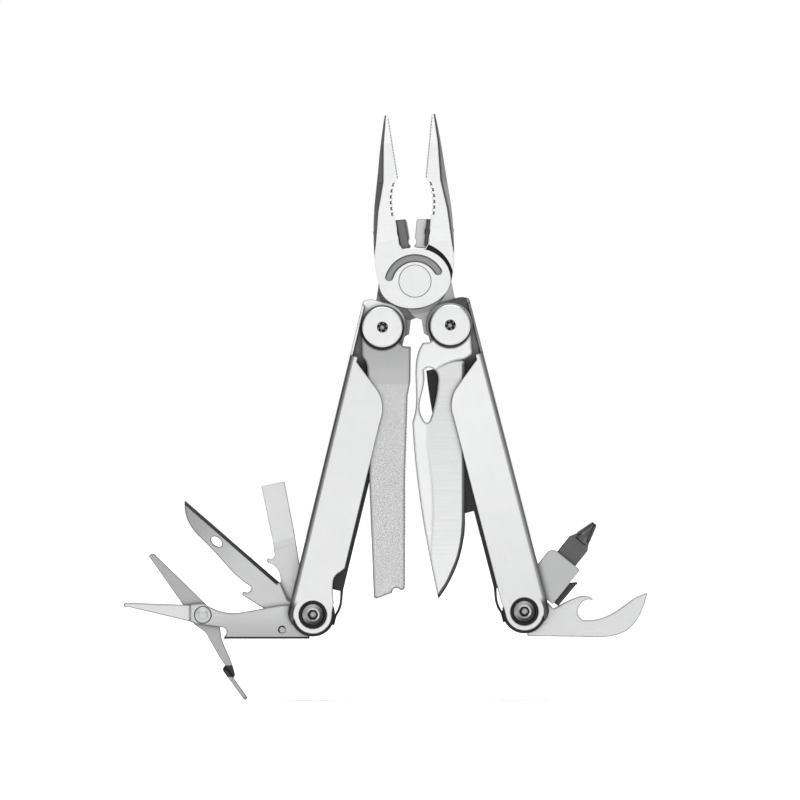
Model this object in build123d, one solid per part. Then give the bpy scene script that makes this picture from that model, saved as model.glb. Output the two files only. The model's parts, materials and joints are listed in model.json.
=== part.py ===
"""Folding multi tool: pliers on two channel handles that carry blades and fold-out tools.

The tool stands in the XZ plane with its front towards -Y. The origin is the plier pivot,
+Z points to the jaw tips. Lengths are millimetres, angles are degrees, anticlockwise as
seen from the front. "Left" and "right" are as seen from the front.
"""
from build123d import *
import os
from math import cos, pi, radians, sin

# ---- pliers, drawn closed and symmetric about x = 0 ----
JAW_REACH = 50.6            # plier pivot to jaw tips
JAW_HALF_DEPTH = 4.1        # half the thickness of a jaw at its root
TIP_HALF_DEPTH = 1.4        # the same at its tip
LAP_HALF_WIDTH = 10.8       # oval lap of a jaw around the plier pivot
LAP_TOP = 9.8
LAP_BOTTOM = 8.1
TANG_HALF_DEPTH = 3.7       # the tangs are a little thinner than the laps
JAW_TAPER = [(-30, JAW_HALF_DEPTH), (13, JAW_HALF_DEPTH), (31, 2.5), (42, TIP_HALF_DEPTH),
             (60, TIP_HALF_DEPTH)]  # height and half depth
JAW_BEVEL_SLOPE = 1.0       # fall of the outer bevels for each millimetre outwards
LAP_CLEARANCE_RADIUS = 11.7  # the other jaw is cut back to this
RIVET_HEAD_RADIUS = 4.75
RIVET_RADIUS = 3.5
HEAD_PIVOT = (8.4, -14.7)   # handle pivot in a jaw's tang, jaws closed
LEFT_JAW_OPEN = 9.0         # how far each jaw stands from closed at rest
RIGHT_JAW_OPEN = 5.5

CUTTER_HALF_DEPTH = 3.0
CUTTER_CLEARANCE_RADIUS = 11.1
CUTTER_SCREW_Z = 15.2       # height of the screw through a jaw that holds its cutter

# ---- handles, drawn hanging down from the head pivot, spine towards +X ----
HANDLE_SPAN = 88.8          # head pivot to end pivot
LEFT_SPLAY = 13.6           # lean of each handle at rest
RIGHT_SPLAY = 14.5
SHEET = 0.8                 # thickness of the folded sheet
CHANNEL_HALF = 4.2          # half the inner width of the channel
SLOT = 3.2                  # gap between a channel wall and its outer plate
SPINE_X = 7.1               # outer face of the spine
BEND_X = -7.5               # outermost line of the open side's fold
FOLD_REACH = 2.4            # width of the folded strip
FOLD_RADIUS = 1.5           # outer radius of its two corners
PLATE_X = 6.0               # spine-side edge of the outer plates
EAR_RADIUS = 7.3
END_RADIUS = 6.6
PLATE_TOP = -10.5           # where the fold starts, below the head pivot
SPINE_TOP = -10.0
SPINE_END = -80.0
WINDOW_TOP = -57.8          # lock spring window in the spine
WINDOW_HALF = 3.3

# ---- fasteners and fits ----
BOLT_RADIUS = 2.2
RUNNING = 0.05              # radial clearance of a turning fit
GAP = 0.05                  # face to face clearance
BIG_HEAD_RADIUS = 6.05
BIG_HEAD_PROUD = 0.4        # how far a head stands out of the plate
BUTTON_RADIUS = 3.4
BUTTON_DOME = 0.9           # rise of a button head's dome
COUNTERBORE_RADIUS = 4.2
SOCKET_RADIUS = 1.45
SPACER_RADIUS = 5.2

# ---- depths along Y, front to back ----
WALL_OUT = CHANNEL_HALF + SHEET
PLATE_IN = WALL_OUT + SLOT
PLATE_OUT = PLATE_IN + SHEET
KNIFE_DEPTH = (-8.1, -6.65)
FILE_DEPTH = (-6.55, -5.1)
SCISSORS_DEPTH = (-4.1, -2.9)
SCISSORS_BLADE_DEPTH = (-2.8, -1.6)
AWL_DEPTH = (-1.45, 1.4)
SCREWDRIVER_DEPTH = (1.55, 4.1)
BIT_DRIVER_DEPTH = (-4.1, 1.5)
OPENER_DEPTH = (1.7, 4.1)
BIT_DEPTH = (-2.95, 0.35)

# ---- rest angles of the fold-out tools ----
SCISSORS_ANGLE = 180.0
AWL_ANGLE = 138.8
SCREWDRIVER_ANGLE = 106.5
BIT_DRIVER_ANGLE = 51.3
OPENER_ANGLE = 0.0

# ---- blades and fold-out tools ----
TANG_RADIUS = 6.0
KNIFE_EDGE_HALF = 0.18      # half thickness left at the cutting edge
RIVET_AT = (33.05, 0.1)     # scissors rivet, from the end pivot
SPRING_PIN_AT = (9.2, 4.6)
BIT_BACK = 9.4              # inner end of the bit, from the end pivot
BIT_FRONT = 26.0
BIT_HALF_WIDTH = 3.5


# ---------------------------------------------------------------- helpers
def turned(point, angle):
    """A point (x, z) turned about the origin."""
    c, s = cos(radians(angle)), sin(radians(angle))
    return (point[0] * c - point[1] * s, point[0] * s + point[1] * c)


def placed(solid, point, angle):
    """A solid turned in the XZ plane and moved so that its origin is at point (x, z)."""
    return Pos(point[0], 0, point[1]) * Rot(0, -angle, 0) * solid


def outline(start, *steps):
    """Flat closed face. A step is a point, a (middle, end) arc, or a list for a smooth curve."""
    edges, here = [], start
    for step in steps:
        if isinstance(step, list):
            edges.append(Spline(here, *step))
            here = step[-1]
        elif isinstance(step[0], tuple):
            edges.append(ThreePointArc(here, step[0], step[1]))
            here = step[1]
        else:
            edges.append(Line(here, step))
            here = step
    if here != start:
        edges.append(Line(here, start))
    return face_up(edges)


def face_up(edges):
    """The face inside a closed run of edges, facing +Z."""
    face = Face(Wire(edges))
    return face if face.normal_at().Z > 0 else -face


def disc(radius, x=0.0, z=0.0):
    return Pos(x, z) * Circle(radius)


def strip(x0, z0, x1, z1):
    return Pos((x0 + x1) / 2, (z0 + z1) / 2) * Rectangle(abs(x1 - x0), abs(z1 - z0))


def slab(face, front, back):
    """A face drawn in X and Z, made solid between two depths along Y."""
    return extrude(Plane.XZ.offset(-back) * face, amount=back - front, dir=(0, -1, 0))


def upright(corners, bottom, top):
    """A solid with an X, Y cross-section between two heights."""
    section = Pos(0, 0, bottom) * Polygon(*corners, align=None)
    return extrude(section, amount=top - bottom, dir=(0, 0, 1))


def rod(radius, front, back, x=0.0, z=0.0):
    return slab(disc(radius, x, z), front, back)


def depth_wedge(profile, half_width):
    """A solid whose depth follows a list of (height, half depth) pairs, along X either way."""
    points = [(-depth, height) for height, depth in profile]
    points += [(depth, height) for height, depth in reversed(profile)]
    return extrude(Plane.YZ * Polygon(*points, align=None), amount=half_width, both=True)


def bevel_cut(a, b, slope):
    """Cutter for a sloped edge: the surface falls away from line a, b (x, y, z) to its right.

    Seen from the front, a flat falls back by the slope for each millimetre outwards from the line.
    """
    start, along = Vector(*a), (Vector(*b) - Vector(*a))
    inward = Vector(-along.Z, 0, along.X)
    across = Plane(origin=start - along, x_dir=inward, z_dir=along)
    section = across * Polygon((0, 0), (0, 6), (-9, 6), (-9, -9 * slope), align=None)
    return extrude(section, amount=3 * along.length)


def both_faces(cutter):
    return cutter + mirror(cutter, about=Plane.XZ)


def drive_socket(radius, front, back):
    """Six-lobed recess."""
    lobes = disc(0.78 * radius)
    for k in range(6):
        a = pi * k / 3
        lobes += disc(0.3 * radius, 0.7 * radius * cos(a), 0.7 * radius * sin(a))
    return slab(lobes, front, back)


# ---------------------------------------------------------------- pliers
def grip_x(z):
    """Inner edge of the left jaw in the round grip, at a height."""
    return -2.9 + 2.5 * ((z - 20.0) / 11.0) ** 3


def jaw_face():
    """The left jaw above the pivot, closed, with its two rows of teeth."""
    root = [(0, 0), (-0.05, 9.7), (-2.3, 9.9), (-3.05, 11.5), (-3.0, 19.4)]
    coarse_count, coarse_pitch = 6, 1.75
    coarse = []
    for k in range(coarse_count):
        z = 20.0 + k * coarse_pitch
        coarse += [(grip_x(z), z), (grip_x(z + 0.9) - 0.6, z + 0.9)]
    fine_count, fine_pitch = 20, 0.92
    fine = []
    for k in range(fine_count):
        z = 31.2 + k * fine_pitch
        fine += [(-0.06, z), (-0.28, z + 0.45)]
    inner = root + coarse + fine + [(-0.06, JAW_REACH - 0.7), (-0.5, JAW_REACH)]
    outer = [(-4.1, 41), (-6.7, 31), (-8.9, 22.5), (-10.0, 16.5), (-10.7, 11.5), (-11.1, 6), (-10.7, 0)]
    lines = [Line(a, b) for a, b in zip(inner, inner[1:])]
    lines.append(Line(inner[-1], (-1.2, JAW_REACH)))
    lines.append(Spline((-1.2, JAW_REACH), *outer))
    lines.append(Line(outer[-1], inner[0]))
    return face_up(lines)


def tang_face():
    """The left jaw's tang, which crosses to the right and holds the right handle's pivot."""
    x, z = HEAD_PIVOT
    arm = outline((-6, -3), (-2.6, -9.7), (-1.7, -10.8), (-0.5, -11.4), (0.15, -11.75), (0.2, -16.0),
                  (2.2, -17.4), (x, z), (12.6, -9.6), (11.0, -6.6), (10.7, 0), (0, 0))
    return arm + disc(6.8, x, z)


def lap_face():
    """Oval lap: flatter below the pivot than above it."""
    lower = Ellipse(LAP_HALF_WIDTH, LAP_BOTTOM) & strip(-20, -20, 20, 0)
    upper = Ellipse(LAP_HALF_WIDTH, LAP_TOP) & strip(-20, 0, 20, 20)
    return lower + upper


def jaw_depth(z):
    """Half the thickness of a jaw at a height."""
    for (low, depth), (high, thinner) in zip(JAW_TAPER, JAW_TAPER[1:]):
        if z <= high:
            return depth + (thinner - depth) * (z - low) / (high - low)
    return TIP_HALF_DEPTH


def outer_bevels():
    """Cutters for the long bevels on the outer edges of the left jaw, one for each run of the line."""
    line = [(-0.75, JAW_REACH), (-2.8, 42.0), (-4.6, 31.0), (-7.5, 22.5), (-10.2, 11.5), (-10.9, 9.0)]
    cutters = []
    for upper, lower in zip(line, line[1:]):
        start = (upper[0], -jaw_depth(upper[1]), upper[1])
        end = (lower[0], -jaw_depth(lower[1]), lower[1])
        run = slab(strip(-30, lower[1], 0, upper[1]), -10, 10)
        cutters.append(both_faces(bevel_cut(start, end, JAW_BEVEL_SLOPE)) & run)
    return cutters


def jaw():
    """Left jaw with the front lap, closed. The right jaw is this one turned half round Z."""
    body = slab(jaw_face(), -JAW_HALF_DEPTH, JAW_HALF_DEPTH) & depth_wedge(JAW_TAPER, 30)
    for cutter in outer_bevels():
        body -= cutter
    body += slab(tang_face(), -TANG_HALF_DEPTH, TANG_HALF_DEPTH)
    body += slab(lap_face(), -JAW_HALF_DEPTH, -GAP)
    body -= rod(LAP_CLEARANCE_RADIUS, -GAP, JAW_HALF_DEPTH + 1)
    body -= rod(RIVET_RADIUS + RUNNING, -10, 10)
    body -= rod(RIVET_HEAD_RADIUS + RUNNING, -10, -JAW_HALF_DEPTH + 1.2)
    body -= rod(BOLT_RADIUS + RUNNING, -10, 10, *HEAD_PIVOT)
    return body


def arc_groove():
    """Shallow plain groove that arches over the front of the pivot."""
    radius, half_width, depth, start, end = 8.1, 1.2, 0.4, 31, 163
    groove = disc(radius + half_width) - disc(radius - half_width)
    groove = groove & outline((0, 0), turned((30, 0), start), (0, 40), turned((30, 0), end))
    groove += disc(half_width, *turned((radius, 0), start)) + disc(half_width, *turned((radius, 0), end))
    return placed(slab(groove, -JAW_HALF_DEPTH - 1, -JAW_HALF_DEPTH + depth), (0, -1.2), 0)


def left_jaw():
    body = jaw() - placed(arc_groove(), (0, 0), -LEFT_JAW_OPEN)
    return placed(body - cutter_screw_hole(), (0, 0), LEFT_JAW_OPEN)


def right_jaw():
    body = Rot(0, 0, 180) * (jaw() - cutter_screw_hole())
    return placed(body, (0, 0), -RIGHT_JAW_OPEN)


def cutter(reach, relief):
    """Replaceable wire cutter in the seat of the left jaw, closed.

    Its front half passes the middle by reach and shears past the other cutter. Its back half stops
    short of the middle by relief, to leave room for the other one.
    """
    face = outline((-2.95, 11.6), (-2.9, 19.0), (reach - 0.35, 18.8), (reach, 17.9), (reach, 12.9),
                   (reach - 0.5, 12.2), (reach - 0.5, 11.4), (reach, 10.6), (reach - 0.3, 10.1), (-2.2, 10.1))
    deep = CUTTER_HALF_DEPTH
    body = slab(face, -deep, -GAP)
    body &= upright([(-4, -deep), (reach - 0.6, -deep), (reach, -0.8), (reach, 0), (-4, 0)], 5, 25)
    body += slab(face & strip(-4, 5, -relief, 25), -GAP, deep)
    body -= rod(CUTTER_CLEARANCE_RADIUS, -GAP, deep + 1)
    return body - cutter_screw_hole()


def cross_pin(radius, inner, length):
    """Pin along X at the cutter screw's height, reaching outwards from x = inner."""
    pin = Cylinder(radius, length, align=(Align.CENTER, Align.CENTER, Align.MIN))
    return Pos(inner, 0, CUTTER_SCREW_Z) * Rot(0, -90, 0) * pin


def cutter_screw_hole():
    return cross_pin(0.85, -1.6, 30) + cross_pin(1.65, -9.0, 9)


def cutter_screw():
    slot = Pos(-10.2, 0, CUTTER_SCREW_Z) * Box(0.9, 0.4, 2.4)
    return cross_pin(0.8, -1.7, 7.4) + cross_pin(1.6, -9.05, 1.1) - slot


def main_rivet():
    body = rod(RIVET_RADIUS, -JAW_HALF_DEPTH, JAW_HALF_DEPTH)
    body += rod(RIVET_HEAD_RADIUS, -JAW_HALF_DEPTH - 0.05, -JAW_HALF_DEPTH + 1.15)
    body += rod(RIVET_HEAD_RADIUS, JAW_HALF_DEPTH - 1.15, JAW_HALF_DEPTH + 0.05)
    return body


# ---------------------------------------------------------------- handles
def wall_face(end_hole):
    """One inner wall of the channel: an ear round the head pivot, a long body, a round end."""
    ear = disc(EAR_RADIUS) + outline((BEND_X, -12), (BEND_X, 5.6), ((-7.2, 6.5), (-6.4, 6.9)),
                                     [(-4.8, 7.4), (-2.4, 7.3), (0, EAR_RADIUS)], (0, 0), (0, -12))
    body = strip(BEND_X + FOLD_REACH, 0, SPINE_X, SPINE_END)
    end = outline((BEND_X + FOLD_REACH, SPINE_END + 1), (3.8, SPINE_END + 1), (3.8, SPINE_END), (5.1, -83.8),
                  (5.9, -HANDLE_SPAN), (BEND_X + FOLD_REACH, -HANDLE_SPAN))
    end += disc(END_RADIUS, 0, -HANDLE_SPAN)
    holes = disc(BOLT_RADIUS + RUNNING) + disc(end_hole, 0, -HANDLE_SPAN)
    return ear + body + end - holes


def plate_face(notched):
    """Outer plate: a slanted shoulder, a rounded belly and, on one handle, a thumb notch."""
    notch = [(PLATE_X, -73), (4.9, -74.4), ((3.8, -75.8), (3.5, -77.6)), (3.9, -80), (5.2, -84)]
    plain = [(PLATE_X, -84)]
    side = notch if notched else plain
    edge = BEND_X + FOLD_REACH
    body = outline((edge, -12.0), (0, -16.2), (3.2, -18.9), [(5.3, -22.0), (PLATE_X, -27.5)],
                   *side, (5.6, -HANDLE_SPAN), (edge, -HANDLE_SPAN - 2.4))
    return body + disc(5.7, 0, -HANDLE_SPAN) - disc(COUNTERBORE_RADIUS, 0, -HANDLE_SPAN)


def open_fold():
    """Rounded fold along the open side, joining a front wall to the front plate."""
    depth = PLATE_OUT - CHANNEL_HALF
    outer = RectangleRounded(2 * FOLD_REACH, depth, FOLD_RADIUS)
    inner = RectangleRounded(2 * (FOLD_REACH - SHEET), depth - 2 * SHEET, FOLD_RADIUS - SHEET)
    left_half = Pos(-FOLD_REACH / 2, 0) * Rectangle(FOLD_REACH, depth)
    section = Pos(BEND_X + FOLD_REACH, -(PLATE_OUT + CHANNEL_HALF) / 2) * ((outer - inner) & left_half)
    length = HANDLE_SPAN + 5.4 + PLATE_TOP
    fold = Pos(0, 0, PLATE_TOP - length) * extrude(section, amount=length)
    limit = strip(BEND_X - 1, 0, 5, -HANDLE_SPAN) + Pos(0, -HANDLE_SPAN) * Ellipse(-BEND_X, 6.0)
    return fold & slab(limit, -PLATE_OUT - 1, 0)


def open_lip():
    """Low flange that stiffens the open edge of a front wall above the fold."""
    return slab(strip(BEND_X, PLATE_TOP, BEND_X + 0.8, 5.0), -WALL_OUT - 1.4, -CHANNEL_HALF)


def spine():
    """The channel's closed side, with a long window for the lock spring."""
    body = Pos(SPINE_X - SHEET / 2, 0, (SPINE_TOP + SPINE_END) / 2)
    body *= Box(SHEET, 2 * WALL_OUT, SPINE_TOP - SPINE_END)
    window = Pos(SPINE_X, 0, (WINDOW_TOP + SPINE_END) / 2 - 1)
    window *= Box(4, 2 * WINDOW_HALF, WINDOW_TOP - SPINE_END + 2)
    return body - window


def scissors_slot():
    """Slot in the left spine that lets the scissors fold away with their moving blade still open."""
    bottom, top, front, back = -56.3, -33.5, -3.3, -1.2
    return Pos(SPINE_X, (front + back) / 2, (bottom + top) / 2) * Box(4, back - front, top - bottom)


def lock_tongue():
    """Thumb tongue of the knife's liner lock, standing out past the spine."""
    face = outline((SPINE_X - 0.4, -11.5), (10.4, -11.5), [(11.8, -24), (9.9, -55.8)], (SPINE_X - 0.4, -55.8))
    return slab(face, -WALL_OUT, -CHANNEL_HALF)


def handle_frame(side):
    """One folded sheet: two walls, spine, two folds and two outer plates.

    The left handle has a thumb notch and the scissors slot, the right one the knife's lock tongue.
    """
    half = slab(wall_face(BOLT_RADIUS + RUNNING), -WALL_OUT, -CHANNEL_HALF)
    half += slab(plate_face(notched=side == "left"), -PLATE_OUT, -PLATE_IN)
    half += open_fold() + open_lip()
    body = half + mirror(half, about=Plane.XZ) + spine()
    if side == "left":
        return body - scissors_slot()
    return body + lock_tongue()


def lock_spring():
    """Leaf in the spine window whose bent end catches the tools' tangs; released by the thumb."""
    inner, outer = SPINE_X - SHEET, SPINE_X
    middle = (inner + outer) / 2
    root = WINDOW_TOP - 0.15 - SHEET / 2
    face = outline((inner, root), ((middle, root + SHEET / 2), (outer, root)), (outer, -79.5), (7.5, -82.0),
                   (7.75, -84.0), (7.6, -85.8), (7.0, -87.7), (7.0, -90.4), (6.35, -90.4), (6.3, -87.6),
                   (6.85, -85.6), (7.0, -84.0), (6.8, -82.2), (inner, -79.9))
    return slab(face, -WINDOW_HALF + 0.15, WINDOW_HALF - 0.15)


def head_bolt():
    """Wide flat pivot screw of a head pivot; its shank runs through ears, tang and blade."""
    head_front = -PLATE_OUT - BIG_HEAD_PROUD
    head = rod(BIG_HEAD_RADIUS, head_front, -PLATE_IN + GAP)
    rim = head.edges().filter_by(GeomType.CIRCLE).sort_by(Axis.Y)[0]
    head = chamfer(rim, 0.25)
    shank = rod(BOLT_RADIUS, -PLATE_IN, 7.0)
    return head + shank - drive_socket(SOCKET_RADIUS, head_front - 1, head_front + 0.9)


def head_nut():
    """Matching wide nut on the back."""
    back = PLATE_OUT + BIG_HEAD_PROUD
    head = rod(BIG_HEAD_RADIUS, PLATE_IN - GAP, back)
    rim = head.edges().filter_by(GeomType.CIRCLE).sort_by(Axis.Y)[-1]
    head = chamfer(rim, 0.25)
    return head + rod(BOLT_RADIUS, 7.0 + GAP, PLATE_IN) - drive_socket(SOCKET_RADIUS, back - 0.9, back + 1)


def ring(radius, front, back):
    return rod(radius, front, back) - rod(BOLT_RADIUS + RUNNING, front - 1, back + 1)


def head_spacers(blade_depth):
    """Washers that fill the front slot beside the blade's tang, and the back slot."""
    blade_front, blade_back = blade_depth
    if blade_front - GAP > -PLATE_IN + 1:
        front = ring(SPACER_RADIUS, -PLATE_IN + GAP + 0.05, blade_front - GAP)
    else:
        front = ring(SPACER_RADIUS, blade_back + GAP, -WALL_OUT - GAP)
    rear = ring(SPACER_RADIUS, WALL_OUT + GAP, PLATE_IN - 2 * GAP)
    return [front, rear]


def button_head():
    """Domed button head with its front at the proudest point of the plate side."""
    front = -PLATE_OUT - 0.2
    ball_radius = (BUTTON_RADIUS ** 2 + BUTTON_DOME ** 2) / (2 * BUTTON_DOME)
    head = rod(BUTTON_RADIUS, front, -PLATE_IN + GAP)
    head = head & (Pos(0, front + ball_radius, 0) * Sphere(ball_radius))
    return head - drive_socket(SOCKET_RADIUS, front - 1, front + 0.9)


def end_bolt():
    """Button-head screw in the counterbore at the handle's end, with its centre on the origin."""
    return button_head() + rod(BOLT_RADIUS, -PLATE_IN, 7.0)


def end_nut():
    return mirror(button_head(), about=Plane.XZ) + rod(BOLT_RADIUS, 7.0 + GAP, PLATE_IN)


def end_spacers():
    """Spacers that hold the outer plates off the channel walls at the handle's end."""
    front = ring(SPACER_RADIUS, -PLATE_IN + 2 * GAP, -WALL_OUT - GAP)
    return [front, mirror(front, about=Plane.XZ)]


# ---------------------------------------------------------------- outside blades
def pivot_bore(depth):
    return rod(BOLT_RADIUS + RUNNING, depth[0] - 1, depth[1] + 1)


def file():
    """Flat file hanging from the left head pivot, saw-toothed along its free edge."""
    tooth, pitch = 0.25, 1.0
    teeth = []
    for k in range(58):
        z = -20.0 - k * pitch
        x = 6.9 + 0.8 * max(0.0, (z + 45.0) / 25.0)
        teeth += [(x, z), (x - tooth, z - pitch / 2)]
    blade = outline((-6.3, -1.5), (-6.2, -8.8), (-5.1, -10.2), (-4.6, -11.8), (-4.0, -45), (-2.6, -80.4),
                    ((-2.3, -81.3), (-1.4, -81.4)), (3.0, -79.7), ((4.2, -78.3), (5.0, -78.6)),
                    ((5.8, -78.9), (6.7, -78.4)), *reversed(teeth), (8.4, -16), (8.5, -5.9), (6.3, -5.7),
                    (0, 0))
    body = slab(blade + disc(6.6), *FILE_DEPTH)
    return body - pivot_bore(FILE_DEPTH)


def knife_face():
    """Clip-point blade with a thumb hole, spine to the left, hanging from its pivot."""
    blade = outline((0, 0), (-6.4, -5.2), (-8.3, -5.3), [(-9.3, -7.2), (-10.4, -17), (-11.4, -29.0)],
                    [(-10.5, -41), (-6.9, -66), (-3.6, -82.2)], [(0.6, -75.4), (3.9, -65), (4.35, -56)],
                    (4.35, -10.2), (5.9, -9.2), ((6.6, -8.4), (6.5, -7.2)), (6.2, -2.5))
    hole = outline((-8.0, -13.6), [(-6.4, -12.8), (-4.3, -13.9), (-3.7, -17.5), (-5.0, -24.8),
                                   (-7.2, -29.3), (-8.7, -27.2), (-8.4, -20), (-8.0, -13.6)])
    return blade + disc(6.7) - hole


def knife_grind():
    """Region that is ground thin, from the grind line to the cutting edge."""
    return outline((6.5, -10.4), [(0.5, -10.9), (-4.2, -13.2)], (-6.4, -22), (-8.3, -31),
                   [(-6.2, -42), (-5.3, -52), (-5.6, -64)], (-6.5, -90), (8, -90))


def knife():
    front, back = KNIFE_DEPTH
    middle = (front + back) / 2
    body = slab(knife_face(), front, back) - pivot_bore(KNIFE_DEPTH)
    slope_start, edge_x = -7.5, 4.35
    for side, face_y in ((-1, front), (1, back)):
        edge_y = middle + side * KNIFE_EDGE_HALF
        beyond = face_y + side
        wedge = upright([(slope_start, face_y), (edge_x, edge_y), (edge_x + 3, edge_y), (edge_x + 3, beyond),
                         (slope_start, beyond)], -95, 0)
        body -= wedge & slab(knife_grind(), front - 2, back + 2)
    return body


# ---------------------------------------------------------------- tools in the left handle
def scissors_body():
    """Body and fixed blade, drawn pointing along +X with its back edge up."""
    face = outline((0, 0), (1.0, 5.9), (1.0, 7.25), (26.9, 7.25), (26.2, 6.0), ((26.1, 4.6), (27.0, 3.9)),
                   (35.2, 2.8), (36.9, 2.1), (55.6, -2.35), ((56.8, -3.1), (56.3, -3.6)), (36.9, -2.9),
                   (36.3, -3.2), (32.8, -3.4), [(28, -1.1), (25, -0.5), (20, -0.9), (12, -2.4), (5.2, -3)])
    body = slab(face + disc(TANG_RADIUS), *SCISSORS_DEPTH)
    front = SCISSORS_DEPTH[0]
    body -= slab(strip(36.9, -6, 60, 6), front - 1, front + 0.35)
    body -= pivot_bore(SCISSORS_DEPTH)
    for point, radius in ((RIVET_AT, 1.3), (SPRING_PIN_AT, 0.75)):
        body -= rod(radius + RUNNING, front - 1, 0, *point)
    return body


def scissors_blade():
    """Moving blade and thumb lever, drawn about the scissors rivet."""
    x, z = RIVET_AT
    face = outline((30.4, -1.4), (32.8, -3.7), (39.5, -10.3), (47.0, -17.5), ((48.4, -18.2), (49.3, -17.6)),
                   (39.5, -3.6), (36.6, 0.4), [(36.2, 2.2), (33.3, 4.6), (31.4, 6.9)],
                   (28.3, 12.4), (26.4, 15.2), (27.2, 16.4), (21.0, 25.0), (20.0, 24.4), (23.9, 19.0),
                   (23.4, 18.2), [(24.2, 15.2), (25.7, 11.5), (27.4, 7.4)], (27.9, 4.0))
    body = slab(face, *SCISSORS_BLADE_DEPTH)
    tab = outline((26.1, 16.0), (27.0, 16.9), (20.9, 25.2), ((20.0, 25.4), (19.9, 24.5)))
    body += slab(tab, SCISSORS_DEPTH[0], SCISSORS_BLADE_DEPTH[1])
    body -= rod(1.3 + RUNNING, -4, 0, x, z)
    return Pos(-x, 0, -z) * body


def scissors_rivet():
    front = SCISSORS_DEPTH[0]
    shank = rod(1.3, front - 0.05, SCISSORS_BLADE_DEPTH[1] - 0.02, *RIVET_AT)
    return shank + rod(2.4, front - 0.09, front - 0.01, *RIVET_AT)


def scissors_spring():
    """Leaf that pushes the lever open, held behind the body by a pin."""
    x, z = SPRING_PIN_AT
    leaf = outline((x - 0.4, z - 1.3), [(15, 1.6), (21.5, 0.6)], (21.6, 1.3), [(15, 2.5), (x + 0.4, z - 0.4)])
    front, back = SCISSORS_BLADE_DEPTH
    body = slab(leaf + disc(1.5, x, z), front, back - 0.1)
    return body - rod(0.75 + RUNNING, -4, 0, x, z)


def scissors_spring_pin():
    front = SCISSORS_DEPTH[0]
    return rod(0.75, front, SCISSORS_BLADE_DEPTH[1] - 0.1, *SPRING_PIN_AT)


def awl():
    """Awl with a thread hole, drawn pointing along +X with its nail hook up."""
    face = outline((0, 0), (1.0, 5.9), (13.5, 8.6), (19.2, 9.5), ((20.1, 9.3), (19.5, 8.3)),
                   ((18.9, 7.2), (19.4, 6.0)), [(26.5, 6.3), (36, 5.2), (45, 4.2), (51.5, -0.4)],
                   (14.3, -0.6), (13.6, -0.7), (8.6, 1.7), (5.0, 0.5))
    thread_hole = Pos(36.2, 2.6) * Ellipse(1.9, 1.15)
    body = slab(face + disc(TANG_RADIUS) - thread_hole, *AWL_DEPTH)
    spine_bevel = both_faces(bevel_cut((14.0, AWL_DEPTH[0], 0.35), (52.0, AWL_DEPTH[0], 0.35), 0.9))
    body -= spine_bevel & slab(strip(14.6, -2, 60, 2), -10, 10)
    return body - pivot_bore(AWL_DEPTH)


def screwdriver():
    """Flat screwdriver with a nail hook; the blade is ground thinner towards its tip."""
    face = outline((0, 0), (0.5, 5.9), (11.5, 6.9), [(15, 6.2), (17.0, 6.8), (18.5, 8.3)],
                   ((19.5, 8.7), (20.1, 8.1)), ((19.6, 7.0), (20.4, 6.0)), (24, 5.4), (41.3, 3.9),
                   (40.7, -3.1), (23.5, -1.4), (15.5, -0.4), (9.0, -2.6), (3.0, -5.1))
    front, back = SCREWDRIVER_DEPTH
    body = slab(face + disc(TANG_RADIUS), front, back)
    for face_y, side in ((front, -1), (back, 1)):
        body -= upright([(21.8, face_y), (23.8, face_y - 0.45 * side), (42, face_y - 0.85 * side),
                         (42, face_y + side), (21.8, face_y + side)], -10, 12)
    return body - pivot_bore(SCREWDRIVER_DEPTH)


# ---------------------------------------------------------------- tools in the right handle
def bit_driver():
    """Flat socket for a double-ended bit, drawn pointing along +X."""
    box_face = outline((7.0, -5.3), (19.4, -5.3), ((20.0, -5.1), (20.2, -4.5)), (20.2, 3.6),
                       ((19.6, 5.1), (18.0, 5.7)), (4.0, 5.7), (4.0, 0.6), (7.0, 0.0))
    front, back = BIT_DRIVER_DEPTH
    body = slab(box_face, front, back) + rod(TANG_RADIUS, front, back)
    pocket = strip(BIT_BACK - 0.2, -BIT_HALF_WIDTH - 0.1, 24, BIT_HALF_WIDTH + 0.1)
    body -= slab(pocket, BIT_DEPTH[0] - 0.08, BIT_DEPTH[1] + 0.08)
    return body - pivot_bore(BIT_DRIVER_DEPTH)


def bit_retainer():
    """Bent spring strip along one side of the socket."""
    face = outline((7.6, -5.4), (15.3, -5.4), (16.7, -6.8), ((16.6, -7.2), (16.0, -7.2)), (7.6, -7.0))
    return slab(face, 0.1, BIT_DRIVER_DEPTH[1])


def driver_bit():
    """Double-ended bit: a flat shank with a cross tip outside and a flat tip inside the socket."""
    middle = (BIT_DEPTH[0] + BIT_DEPTH[1]) / 2
    w = BIT_HALF_WIDTH
    shank_face = outline((BIT_BACK, -2.6), (11.5, -w), (BIT_FRONT, -w), (28.2, -2.3), (28.2, 2.3),
                         (BIT_FRONT, w), (11.5, w), (BIT_BACK, 2.6))
    shank = slab(shank_face, *BIT_DEPTH)
    front, back = BIT_DEPTH
    for face_y, side in ((front, -1), (back, 1)):
        shank -= upright([(BIT_BACK - 1, middle + 0.5 * side), (BIT_BACK, middle + 0.6 * side),
                          (13.5, face_y), (13.5, face_y + side), (BIT_BACK - 1, face_y + side)], -5, 5)
    profile = outline((27.0, 0), (27.0, 2.55), (28.9, 2.35), (33.6, 0.85), (34.2, 0.35), (34.2, 0))
    tip = Pos(0, middle, 0) * revolve(Plane.XZ * profile, axis=Axis.X)
    for k in range(4):
        flute = Pos(32.0, 0, 1.75) * Rot(0, 20, 0) * Rot(45, 0, 0) * Box(8, 1.5, 1.5)
        tip -= Pos(0, middle, 0) * Rot(45 + 90 * k, 0, 0) * flute
    return shank + tip


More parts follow.
